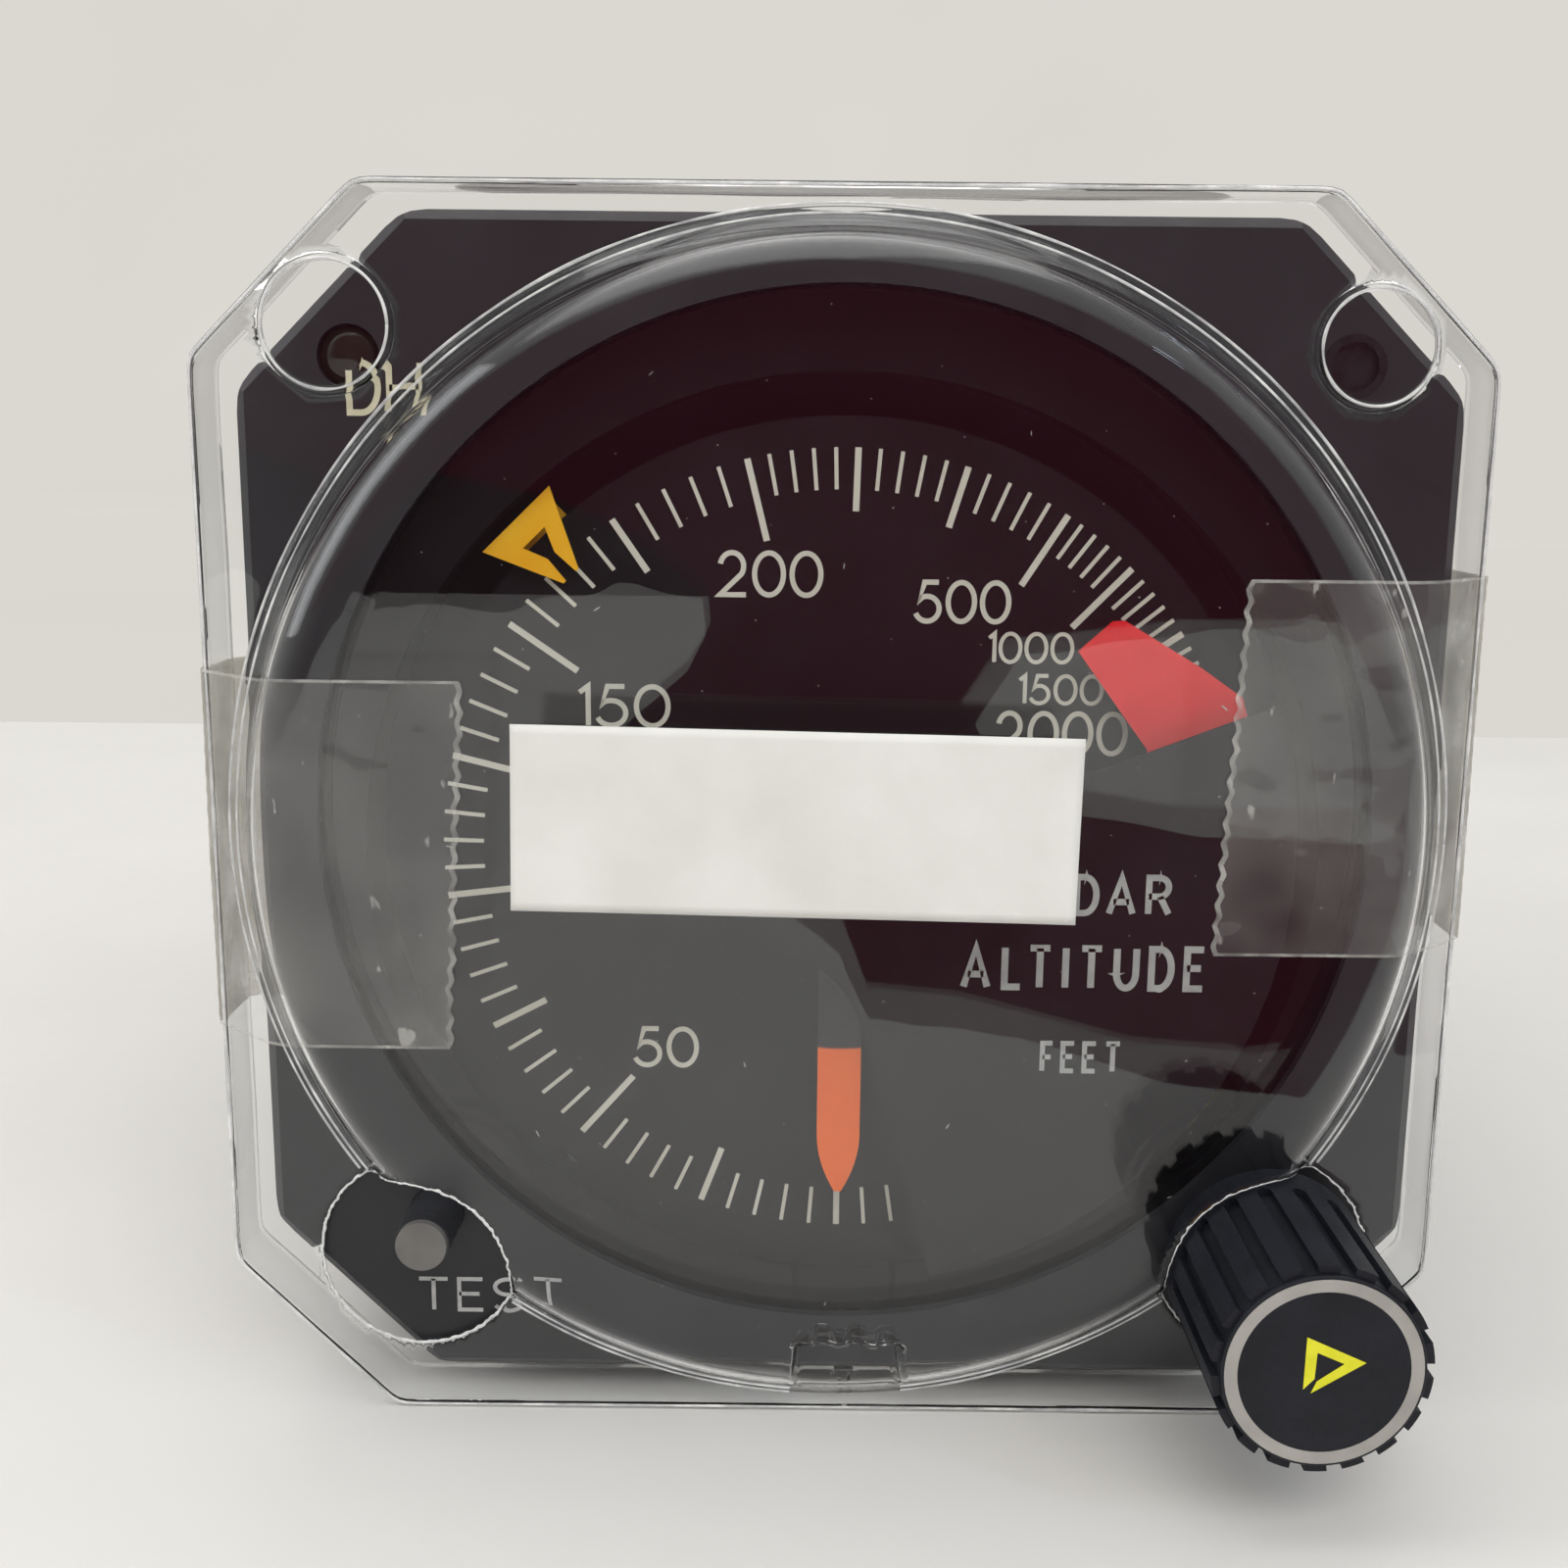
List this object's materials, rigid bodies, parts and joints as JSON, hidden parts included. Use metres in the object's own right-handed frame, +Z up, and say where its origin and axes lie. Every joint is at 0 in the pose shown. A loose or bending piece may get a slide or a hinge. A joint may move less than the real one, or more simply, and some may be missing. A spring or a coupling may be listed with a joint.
{
  "type": "aircraft altimeter",
  "caption": "Panel-mounted radar altitude indicator: square black bezel, round dial with pointer, bug and flag, knob, test button, long case, taped-on clear cover.",
  "frame": {"origin": "centre of the bezel's rear face, which seats on the instrument panel", "axes": "+X to the right seen from the front, +Y back into the panel along the case, +Z up"},
  "size_m": [0.088, 0.1855, 0.0876],
  "materials": {
    "bezel_black": "satin black enamel",
    "inner_black": "matte black paint",
    "window": "clear polished glass",
    "gasket": "soft black",
    "legend_black": "matte black paint",
    "dial_black": "matte black paint",
    "dial_print": "warm white print",
    "pointer_orange": "matte orange paint",
    "flag_red": "matte red paint",
    "bug_amber": "matte amber paint",
    "brass": "machined",
    "steel": "machined",
    "alloy": "machined",
    "magnet": "ground",
    "copper_coil": "varnished winding",
    "knob_black": "moulded matte black",
    "knob_grey": "light grey inlay",
    "button_black": "moulded black",
    "button_grey": "translucent grey",
    "lamp_lens": "dark amber lens",
    "sensor_dark": "dark window",
    "pot_blue": "moulded housing",
    "dark_housing": "moulded housing",
    "board_green": "coated laminate",
    "chip_black": "moulded",
    "case_black": "satin black enamel",
    "connector_olive": "plated shell",
    "gold": "plated contact",
    "clear_sheet": "clear formed sheet",
    "label_white": "off-white paper",
    "clear_tape": "clear tape"
  },
  "bodies": {
    "case": {"bezel": "bezel_black", "window_gasket": "gasket", "window_glass": "window", "glass_retainer": "inner_black", "dial_surround": "inner_black", "legend_mask": "legend_black", "mask_posts": "inner_black", "dial_plate": "dial_black", "dial_markings": "dial_print", "dial_screws": "inner_black", "flag_coil": "copper_coil", "knob_bushing": "steel", "dh_pot": "pot_blue", "test_switch": "dark_housing", "dh_lamp": "lamp_lens", "light_sensor": "sensor_dark", "front_frame": "alloy", "shaft_sleeve": "brass", "servo_motor": "alloy", "rear_frame": "alloy", "frame_posts": "alloy", "frame_screws": "steel", "position_pickoff": "dark_housing", "tie_rods": "steel", "servo_board": "board_green", "servo_chips": "chip_black", "power_board": "board_green", "power_parts": "dark_housing", "board_screws": "steel", "case_tube": "case_black", "rear_plate": "case_black", "rear_screws": "steel", "connector_shell": "connector_olive", "connector_insert": "chip_black", "connector_contacts": "gold", "connector_screws": "steel", "protective_cover": "clear_sheet", "cover_label": "label_white", "cover_tapes": "clear_tape"},
    "pointer_hand": {"pointer": "pointer_orange", "pointer_hub": "brass", "pointer_shaft": "steel", "pointer_gear": "brass"},
    "idler": {"idler_gear": "brass"},
    "motor_rotor": {"motor_pinion": "steel"},
    "flag": {"warning_flag": "flag_red", "flag_tube": "brass", "flag_magnet": "magnet"},
    "bug": {"dh_bug": "bug_amber", "bug_gear": "brass"},
    "knob": {"knob_body": "knob_black", "knob_ring": "knob_grey", "knob_set_screws": "steel", "knob_shaft": "steel", "knob_pinion": "brass"},
    "pot_rotor": {"pot_gear": "brass", "pot_shaft": "steel"},
    "button": {"test_button": "button_black", "button_cap": "button_grey"}
  },
  "joints": [
    {"name": "pointer_turn", "type": "hinge", "parent": "case", "child": "pointer_hand", "pos_m": [0, 0, -0.00315], "axis": [0, 1, 0], "range_deg": [-9, 256]},
    {"name": "idler_spin", "type": "hinge", "parent": "case", "child": "idler", "pos_m": [-0.01326, 0, 0.01011], "axis": [0, 1, 0], "range_deg": [-1024, 36]},
    {"name": "motor_spin", "type": "hinge", "parent": "case", "child": "motor_rotor", "pos_m": [-0.00027, 0, 0.01761], "axis": [0, 1, 0], "range_deg": [-108, 3072]},
    {"name": "flag_turn", "type": "hinge", "parent": "case", "child": "flag", "pos_m": [0, 0, -0.00315], "axis": [0, 1, 0], "range_deg": [0, 26], "stiffness_Nm_per_rad": 0.0002, "springref_deg": -28.65},
    {"name": "bug_turn", "type": "hinge", "parent": "case", "child": "bug", "pos_m": [0, 0, -0.00315], "axis": [0, 1, 0], "range_deg": [-135, 111]},
    {"name": "knob_turn", "type": "hinge", "parent": "case", "child": "knob", "pos_m": [0.03085, 0, -0.0314], "axis": [0, 1, 0], "range_deg": [-1080, 888]},
    {"name": "pot_spin", "type": "hinge", "parent": "case", "child": "pot_rotor", "pos_m": [0.02553, 0, -0.02445], "axis": [0, 1, 0], "range_deg": [-592, 720]},
    {"name": "test_press", "type": "slide", "parent": "case", "child": "button", "axis": [0, 1, 0], "range_m": [0, 0.002], "stiffness_N_per_m": 400, "springref_m": -0.001}
  ],
  "couplings": [
    {"joint": "idler_spin", "follows": "motor_spin", "ratio": -0.33333},
    {"joint": "pointer_turn", "follows": "motor_spin", "ratio": 0.083333},
    {"joint": "pot_spin", "follows": "knob_turn", "ratio": -0.66667},
    {"joint": "bug_turn", "follows": "knob_turn", "ratio": 0.125}
  ]
}
